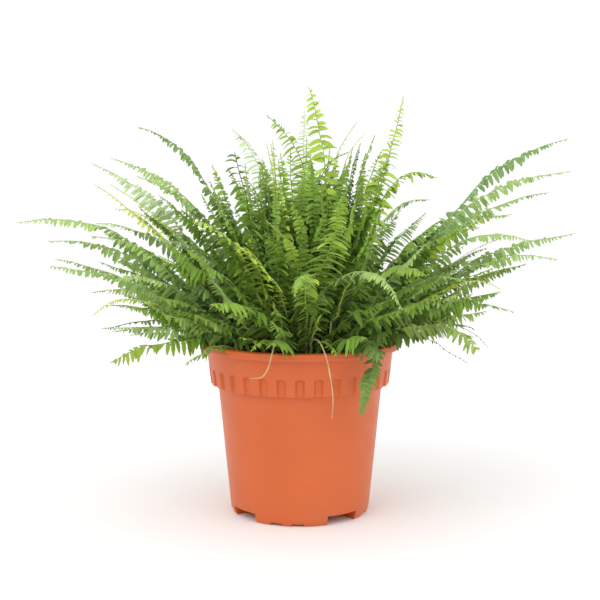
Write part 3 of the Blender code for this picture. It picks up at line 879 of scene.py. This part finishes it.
def make_fronds(finishes):
    """One leafy frond for every frond node, along that node's own middle line."""
    names = sorted(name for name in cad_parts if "frond" in name)
    for index, name in enumerate(names):
        kind = name.split("_")[0]
        look = LOOKS[kind]._replace(**OWN_LOOKS.get(name, {}))
        centre, places, sides = spine_of(name)
        path, share, length = even_path(centre)
        side = softened(read_at(share, places, sides), SIDE_SOFTENING)
        rng = np.random.default_rng(100 + index)
        path = wavered(path, share, rng)
        mesh = quad_mesh(f"leafy_{name}", *frond_parts(path, share, length, side, look, rng), LEAF_SHARP)
        add_piece(f"leafy_{name}", mesh, finishes[look.finish], SLOTS[kind], name)


# Groups of fronds inside the plant: count, seat radius in mm, climb in degrees, length in mm, and how
# far the tip bows down as a share of the length. A group with open_front leaves out what heads within
# about 44 degrees of the front, where the crown shows dark between a few thin stems.
Tier = namedtuple("Tier", "count seat climb length bow finish open_front")
TIERS = {
    "centre_fronds": Tier(38, 16, 82, 178, 0.04, "painted_shade_heart_green", False),
    "heart_fronds": Tier(42, 21, 76, 185, 0.08, "front_leaf", False),
    "middle_fronds": Tier(38, 30, 57, 190, 0.22, "painted_shade_heart_green", False),
    "outer_fronds": Tier(40, 42, 42, 180, 0.20, "painted_shade_heart_green", False),
    "arm_fronds": Tier(34, 44, 45, 192, 0.20, "arching_leaf", True),
    "spreading_fronds": Tier(34, 46, 28, 142, 0.10, "low_leaf", True),
    "skirt_fronds": Tier(30, 47, 25, 92, 0.14, "shade_leaf", True),
}
CLEAR_FRONT = 0.72
BACK_SHORTENING = 0.14
FRONT_SHORTENING = 0.42
LIP_SPAN = 11 * MM
LIP_CLEARANCE = 9 * MM
UPRIGHT_CLIMB = 70
HALF_UPRIGHT = (10.0, 14.0)
HALF_LEANING = (6.5, 13.0)
GOLDEN = 137.508
SEAT_DEPTH = 3 * MM
CROWN_FALL = 2.4


def over_lip(path):
    """The path raised clear of the lip, by a lift that grows smoothly from the crown outwards."""
    radius = np.hypot(path[:, 0], path[:, 1])
    crossing = (radius > LIP_RADIUS - LIP_SPAN) & (radius < LIP_RADIUS + 1 * MM)
    lowest = path[crossing, 2].min() if crossing.any() else LIP_TOP + LIP_CLEARANCE
    lift = max(0.0, LIP_TOP + LIP_CLEARANCE - lowest)
    return path + UP * (lift * smooth_step(0.5 * LIP_RADIUS, LIP_RADIUS - LIP_SPAN, radius))[:, None]


def seat_point(out, seat):
    """Where a frond leaves the crown: a little under its top, lower by CROWN_FALL * seat^2 further out."""
    return out * seat + UP * (CROWN_TOP - SEAT_DEPTH - CROWN_FALL * seat * seat)


def heading_side(heading, count, spread, rng):
    """Side direction of a frond that runs straight out at a heading, tipped a little at random."""
    return facing(np.full(count, heading + 90.0)) + rng.normal(0, spread, 3)


def inner_path(tier, index, rng):
    """A bowed line: straight out of the crown at its climb, less bow times the square of the way along.

    Golden-angle steps of the heading spread a tier evenly round the plant.
    """
    heading = GOLDEN * index + rng.normal(0, 6)
    climb = math.radians(tier.climb + rng.normal(0, 8))
    to_front = math.cos(math.radians(heading))
    shorter = (FRONT_SHORTENING if to_front > 0 else BACK_SHORTENING) * to_front**2
    length = tier.length * MM * rng.uniform(0.72, 1.1) * (1 - shorter)
    seat = tier.seat * MM * rng.uniform(0.7, 1.1)
    share = np.linspace(0, 1, max(14, int(length / STEP)))[:, None]
    out = facing(heading)
    turn = rng.normal(0, 0.12) * length
    path = seat_point(out, seat) + share * length * (out * math.cos(climb) + UP * math.sin(climb))
    path = path + share**2 * (facing(heading + 90) * turn - UP * tier.bow * length)
    return over_lip(path), share[:, 0], length, heading_side(heading, len(share), 0.15, rng)


def make_inner_fronds(finishes):
    """The shorter fronds that fill the plant between the outer ones, one piece for each tier."""
    for number, (name, tier) in enumerate(TIERS.items()):
        rng = np.random.default_rng(700 + number)
        halves = HALF_UPRIGHT if tier.climb > UPRIGHT_CLIMB else HALF_LEANING
        fronds = []
        for index in range(5 * number, 5 * number + tier.count):
            if tier.open_front and math.cos(math.radians(GOLDEN * index)) > CLEAR_FRONT:
                continue
            path, share, length, side = inner_path(tier, index, rng)
            path = wavered(path, share, rng)
            look = LOOKS["inner"]._replace(half=rng.uniform(*halves), hang=rng.uniform(0.1, 0.6))
            fronds.append(frond_parts(path, share, length, side, look, rng))
        mesh = quad_mesh(name, *joined(fronds), LEAF_SHARP)
        add_piece(name, mesh, finishes[tier.finish], SLOTS["inner"])


# Single fronds that stand out among the inner ones: tip heading, reach and height, climb at the crown,
# pitch at the tip, and the look with what it changes. Lengths are in millimetres, angles in degrees.
# A frond's place in this list sets its random draws.
WIDEST_SEAT = 44
PULL = 0.38
Single = namedtuple("Single", "heading reach height climb pitch kind change")
SINGLES = {
    "mass_frond_1": Single(-120, 29, 315, 84, 80, "facing", {"half": 8.0, "finish": "young_leaf"}),
    "mass_frond_2": Single(-165, 32, 309, 84, 84, "tall", {"half": 13.0, "finish": "painted_lit_green"}),
    "mass_frond_3": Single(150, 20, 298, 84, 86, "tall", {"half": 13.0, "finish": "front_leaf"}),
    "mass_frond_4": Single(112, 30, 302, 82, 46, "facing", {"half": 10.0, "finish": "painted_shade_green"}),
    "mass_frond_5": Single(100, 42, 308, 82, 12, "facing", {"half": 6.0, "finish": "painted_shade_green"}),
    "mass_frond_6": Single(120, 51, 284, 78, 68, "tall", {"half": 12.0}),
    "mass_frond_7": Single(-100, 33, 298, 82, 84, "tall", {"half": 11.0, "finish": "front_leaf"}),
    "mass_frond_8": Single(-112, 52, 286, 78, 74, "tall", {"half": 12.0}),
    "mass_frond_9": Single(-42, 26, 284, 82, 80, "tall", {"half": 12.0, "finish": "painted_lit_green"}),
    "mass_frond_10": Single(60, 22, 278, 84, 76, "tall", {"half": 12.0, "finish": "front_leaf"}),
    "mass_frond_11": Single(92, 73, 268, 74, 62, "young", {"half": 9.0}),
    "mass_frond_12": Single(132, 72, 278, 76, 66, "tall", {"half": 12.0}),
    "mass_frond_14": Single(-146, 42, 318, 84, 82, "tall", {"half": 11.0, "finish": "painted_glare_green"}),
    "mass_frond_15": Single(168, 26, 320, 86, 86, "tall", {"half": 10.0, "finish": "painted_lit_green"}),
    "mass_frond_16": Single(-94, 18, 302, 86, 84, "tall", {"half": 12.0, "finish": "front_leaf"}),
    "mass_frond_17": Single(138, 50, 306, 82, 76, "tall", {"half": 11.0, "finish": "upright_leaf"}),
    "mass_frond_18": Single(-128, 62, 298, 80, 76, "tall", {"half": 11.0, "finish": "front_leaf"}),
    "mass_frond_19": Single(150, 66, 290, 78, 72, "tall", {"half": 12.0, "finish": "front_leaf"}),
    "mass_frond_13": Single(-60, 62, 262, 78, 60, "tall", {"half": 11.0}),
    "bright_front_frond": Single(-31, 98, 236, 82, 14, "facing", {"half": 12.0, "level": 0.8, "twist": 0.0,
                                                                   "bare": 0.3, "finish": "young_leaf"}),
    "left_arch_frond": Single(-75, 122, 234, 62, -20, "arching", {"half": 9.0, "finish": "painted_glare_green"}),
    "left_tip_frond_1": Single(-88, 157, 260, 44, 0, "young", {}),
    "left_tip_frond_2": Single(-80, 175, 239, 38, 2, "arching", {"half": 9.0}),
    "left_tip_frond_3": Single(-86, 212, 233, 36, -8, "arching", {"half": 12.0}),
    "left_tip_frond_4": Single(-66, 165, 205, 36, -20, "arching", {"half": 11.0}),
    "left_tip_frond_5": Single(-97, 172, 170, 27, -6, "young", {"half": 4.0, "finish": "painted_shade_green"}),
    "left_low_frond": Single(-80, 160, 150, 24, -14, "low", {"half": 8.0}),
    "thin_top_frond": Single(125, 70, 325, 76, 34, "young", {"half": 3.0, "spacing": 8.0, "bare": 0.4}),
    "right_tip_frond_1": Single(80, 152, 246, 46, -4, "arching", {"half": 10.0}),
    "right_tip_frond_2": Single(82, 178, 257, 44, 2, "arching", {"half": 8.0, "finish": "young_leaf"}),
    "right_tip_frond_3": Single(95, 165, 214, 38, -12, "arching", {}),
    "right_tip_frond_4": Single(68, 150, 202, 42, -32, "arching", {"half": 11.0}),
    "right_tip_frond_5": Single(88, 218, 217, 34, -16, "arching", {"half": 9.0}),
    "right_low_frond": Single(74, 150, 158, 26, -20, "low", {"half": 8.0}),
    "rim_frond_left": Single(-33, 90, 160, 46, -6, "young", {"half": 6.5, "finish": "painted_lit_green"}),
    "rim_frond_middle": Single(-24, 93, 144, 50, -50, "young", {"half": 6.0, "finish": "painted_lit_green"}),
    "rim_frond_right": Single(17, 96, 140, 52, -60, "low", {"half": 9.0, "finish": "front_leaf"}),
    "front_fan_frond": Single(6, 110, 210, 72, -10, "facing", {"half": 9.0, "level": 0.8,
                                                                "finish": "young_leaf"}),
    "thin_stem_frond_1": Single(-14, 88, 190, 66, 30, "young", {"half": 3.5, "bare": 0.5, "stem": 1.3}),
    "thin_stem_frond_2": Single(10, 92, 180, 56, 20, "young", {"half": 4.0, "bare": 0.5, "stem": 1.3}),
    "thin_stem_frond_3": Single(27, 88, 206, 66, 44, "young", {"half": 3.5, "bare": 0.45, "stem": 1.3}),
    "thin_stem_frond_4": Single(-40, 90, 178, 56, 10, "young", {"half": 4.5, "bare": 0.4, "stem": 1.3}),
}


def single_path(row):
    """Cubic curve that leaves the crown at its climb and comes to the tip at the tip's pitch."""
    out = facing(row.heading)
    base = seat_point(out, min(0.5 * row.reach, WIDEST_SEAT) * MM)
    tip = out * row.reach * MM + UP * row.height * MM
    climb, pitch = math.radians(row.climb), math.radians(row.pitch)
    pull = PULL * np.linalg.norm(tip - base)
    first = base + pull * (out * math.cos(climb) + UP * math.sin(climb))
    last = tip - pull * (out * math.cos(pitch) + UP * math.sin(pitch))
    t = np.linspace(0, 1, 80)[:, None]
    curve = (1 - t) ** 3 * base + 3 * t * (1 - t) ** 2 * first + 3 * t**2 * (1 - t) * last + t**3 * tip
    return even_path(over_lip(curve))


def make_single_fronds(finishes):
    """One piece for each single frond of the list."""
    for number, (name, row) in enumerate(SINGLES.items()):
        rng = np.random.default_rng(400 + number)
        look = LOOKS[row.kind]._replace(**row.change)
        path, share, length = single_path(row)
        path = wavered(path, share, rng)
        side = heading_side(row.heading, len(share), 0.1, rng)
        mesh = quad_mesh(name, *frond_parts(path, share, length, side, look, rng), LEAF_SHARP)
        add_piece(name, mesh, finishes[look.finish], SLOTS[row.kind])


# Mature, tip, underside and rib colours of every leaf finish.
LEAF_COLOURS = {
    "upright_leaf": [(0.145, 0.29, 0.018), (0.418, 0.616, 0.077), (0.27, 0.43, 0.055), (0.28, 0.38, 0.060)],
    # painted light: a lighter copy of the upright green for fronds that catch the most light
    "painted_lit_green": [(0.190, 0.35, 0.020), (0.506, 0.704, 0.094), (0.34, 0.51, 0.065), (0.34, 0.46, 0.070)],
    "arching_leaf": [(0.105, 0.24, 0.042), (0.396, 0.583, 0.165), (0.25, 0.41, 0.100), (0.42, 0.51, 0.180)],
    "blue_green_leaf": [(0.105, 0.25, 0.065), (0.363, 0.594, 0.176),
                        (0.24, 0.41, 0.120), (0.38, 0.52, 0.190)],
    "shade_leaf": [(0.075, 0.150, 0.020), (0.170, 0.280, 0.055), (0.13, 0.23, 0.04), (0.18, 0.27, 0.07)],
    "low_leaf": [(0.100, 0.20, 0.020), (0.330, 0.473, 0.094), (0.21, 0.34, 0.055), (0.38, 0.45, 0.130)],
    "front_leaf": [(0.115, 0.25, 0.016), (0.297, 0.484, 0.050), (0.22, 0.37, 0.050), (0.33, 0.44, 0.080)],
    # painted shade: this leaf green is darkened for fronds in the shaded heart of the plant
    "painted_shade_heart_green": [(0.085, 0.18, 0.012), (0.220, 0.385, 0.040), (0.16, 0.29, 0.036), (0.26, 0.33, 0.070)],
    # painted light: a washed-out, paler copy of the leaf green for fronds in the brightest light
    "painted_glare_green": [(0.30, 0.46, 0.150), (0.58, 0.72, 0.38), (0.50, 0.66, 0.32), (0.52, 0.65, 0.30)],
    # painted shade: a darker copy of the leaf green, with a near-black rib, for fronds that lie in shade
    "painted_shade_green": [(0.080, 0.19, 0.013), (0.198, 0.363, 0.037), (0.17, 0.30, 0.044), (0.05, 0.075, 0.015)],
    "young_leaf": [(0.27, 0.43, 0.020), (0.594, 0.726, 0.083), (0.44, 0.57, 0.080), (0.48, 0.54, 0.110)],
    "dry_leaf": [(0.15, 0.13, 0.040), (0.28, 0.21, 0.10), (0.23, 0.19, 0.08), (0.22, 0.17, 0.08)],
}


def leaf_finishes():
    """Every leaf finish, by name."""
    return {name: leaf_finish(name, *(rgb(*colour) for colour in colours))
            for name, colours in LEAF_COLOURS.items()}


# ---------------------------------------------------------------- stage

CAMERA_DISTANCE = 1.062
CAMERA_HEIGHT = 0.3045
CAMERA_DOWN = 6.58


def make_stage():
    """Pale floor, white surroundings and two broad soft lights."""
    bpy.ops.mesh.primitive_plane_add(size=12)
    floor = bpy.context.object
    floor.name = "studio_floor"
    floor.data.materials.append(floor_finish())
    world = bpy.data.worlds.new("studio")
    bpy.context.scene.world = world
    world.use_nodes = True
    background = world.node_tree.nodes["Background"]
    background.inputs["Color"].default_value = rgb(1, 1, 1)
    background.inputs["Strength"].default_value = 1.05
    add_light("key", (-0.9, -1.1, 1.5), 1.2, 8)
    add_light("fill", (1.2, -0.9, 1.0), 1.4, 3)
    bpy.context.scene.view_settings.view_transform = "Standard"


def add_light(name, place, size, power):
    """Square soft light turned to the middle of the plant."""
    data = bpy.data.lights.new(name, "AREA")
    data.size = size
    data.energy = power
    light = bpy.data.objects.new(name, data)
    light.location = place
    aim = np.array([0, 0, 0.18]) - np.array(place)
    light.rotation_euler = (math.acos(-aim[2] / np.linalg.norm(aim)), 0, math.atan2(-aim[0], aim[1]))
    bpy.context.scene.collection.objects.link(light)


def make_camera():
    data = bpy.data.cameras.new("camera")
    data.lens = 75
    data.sensor_width = 36
    camera = bpy.data.objects.new("camera", data)
    camera.location = (0, -CAMERA_DISTANCE, CAMERA_HEIGHT)
    camera.rotation_euler = (math.radians(90 - CAMERA_DOWN), 0, 0)
    bpy.context.scene.collection.objects.link(camera)
    bpy.context.scene.camera = camera


make_pot()
make_soil()
make_crown()
make_runners()
leaf = leaf_finishes()
make_fronds(leaf)
make_inner_fronds(leaf)
make_single_fronds(leaf)
make_stage()
make_camera()
